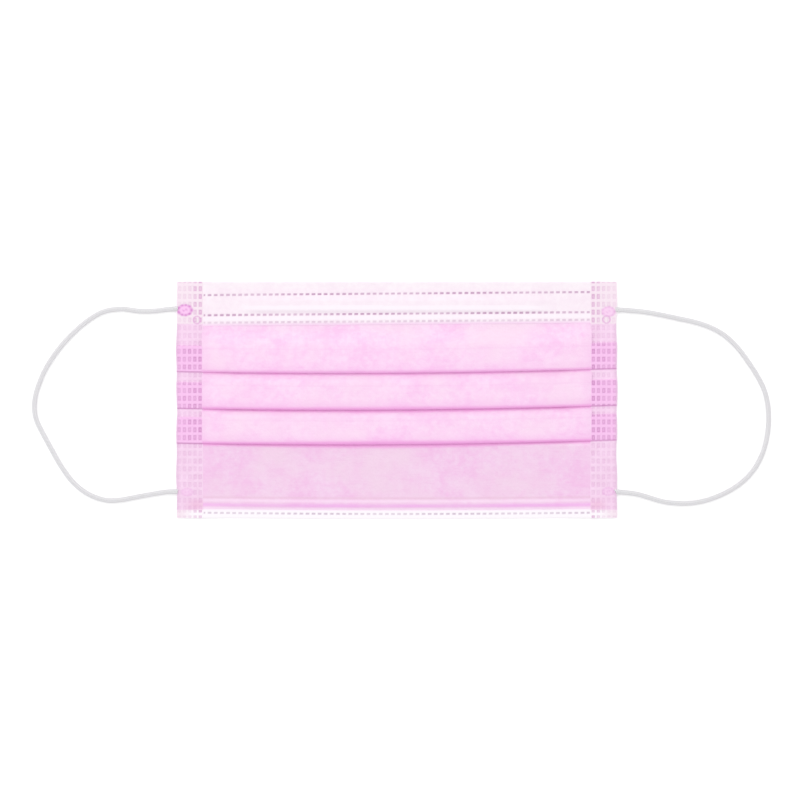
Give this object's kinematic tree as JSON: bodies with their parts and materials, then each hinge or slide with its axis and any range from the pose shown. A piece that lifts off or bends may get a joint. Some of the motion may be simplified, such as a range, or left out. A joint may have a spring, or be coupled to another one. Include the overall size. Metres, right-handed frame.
{
  "type": "disposable face mask",
  "caption": "Flat-folded three-ply pleated face mask with welded side seams, a nose wire in a white nose hem, and two round elastic ear loops.",
  "frame": {"origin": "under the middle of the cloth, on the surface that the mask lies on", "axes": "+X along the width of the mask, +Y towards the nose edge, +Z out of the front (outer) face"},
  "size_m": [0.294, 0.0944, 0.0036],
  "materials": {
    "outer_nonwoven": "matt pale pink spunbond nonwoven",
    "filter_nonwoven": "matt white meltblown nonwoven",
    "inner_nonwoven": "matt white spunbond nonwoven",
    "welded_seam": "pressed and partly melted pink nonwoven",
    "ear_loop_elastic": "matt knitted white elastic",
    "nose_wire_sheath": "satin white polyethylene",
    "nose_wire_core": "galvanised wire"
  },
  "bodies": {
    "mask_body": {"outer_ply_upper_panel": "outer_nonwoven", "filter_ply_upper_panel": "filter_nonwoven", "inner_ply_upper_panel": "inner_nonwoven", "nose_wire_sheath": "nose_wire_sheath", "nose_wire_upper_core": "nose_wire_core", "nose_wire_lower_core": "nose_wire_core", "left_side_seam": "welded_seam", "right_side_seam": "welded_seam", "left_upper_loop_weld": "ear_loop_elastic", "left_lower_loop_weld": "ear_loop_elastic", "right_upper_loop_weld": "ear_loop_elastic", "right_lower_loop_weld": "ear_loop_elastic"},
    "second_panel": {"outer_ply_second_panel": "outer_nonwoven", "filter_ply_second_panel": "filter_nonwoven", "inner_ply_second_panel": "inner_nonwoven"},
    "third_panel": {"outer_ply_third_panel": "outer_nonwoven", "filter_ply_third_panel": "filter_nonwoven", "inner_ply_third_panel": "inner_nonwoven"},
    "lower_panel": {"outer_ply_lower_panel": "outer_nonwoven", "filter_ply_lower_panel": "filter_nonwoven", "inner_ply_lower_panel": "inner_nonwoven"},
    "left_loop": {"left_ear_loop": "ear_loop_elastic"},
    "right_loop": {"right_ear_loop": "ear_loop_elastic"}
  },
  "joints": [
    {"name": "lower_pleat_opening", "type": "slide", "parent": "mask_body", "child": "lower_panel", "axis": [0, -1, 0], "range_m": [0, 0.03]},
    {"name": "middle_pleat_opening", "type": "slide", "parent": "mask_body", "child": "third_panel", "axis": [0, -1, 0], "range_m": [0, 0.02]},
    {"name": "upper_pleat_opening", "type": "slide", "parent": "mask_body", "child": "second_panel", "axis": [0, -1, 0], "range_m": [0, 0.01]},
    {"name": "left_loop_swing", "type": "hinge", "parent": "mask_body", "child": "left_loop", "pos_m": [-0.0885, 0, 0.0023], "axis": [0, 1, 0], "range_deg": [0, 165]},
    {"name": "right_loop_swing", "type": "hinge", "parent": "mask_body", "child": "right_loop", "pos_m": [0.0885, 0, 0.0023], "axis": [0, -1, 0], "range_deg": [0, 165]}
  ],
  "couplings": [
    {"joint": "middle_pleat_opening", "follows": "lower_pleat_opening", "ratio": 0.6666},
    {"joint": "upper_pleat_opening", "follows": "lower_pleat_opening", "ratio": 0.3333}
  ]
}
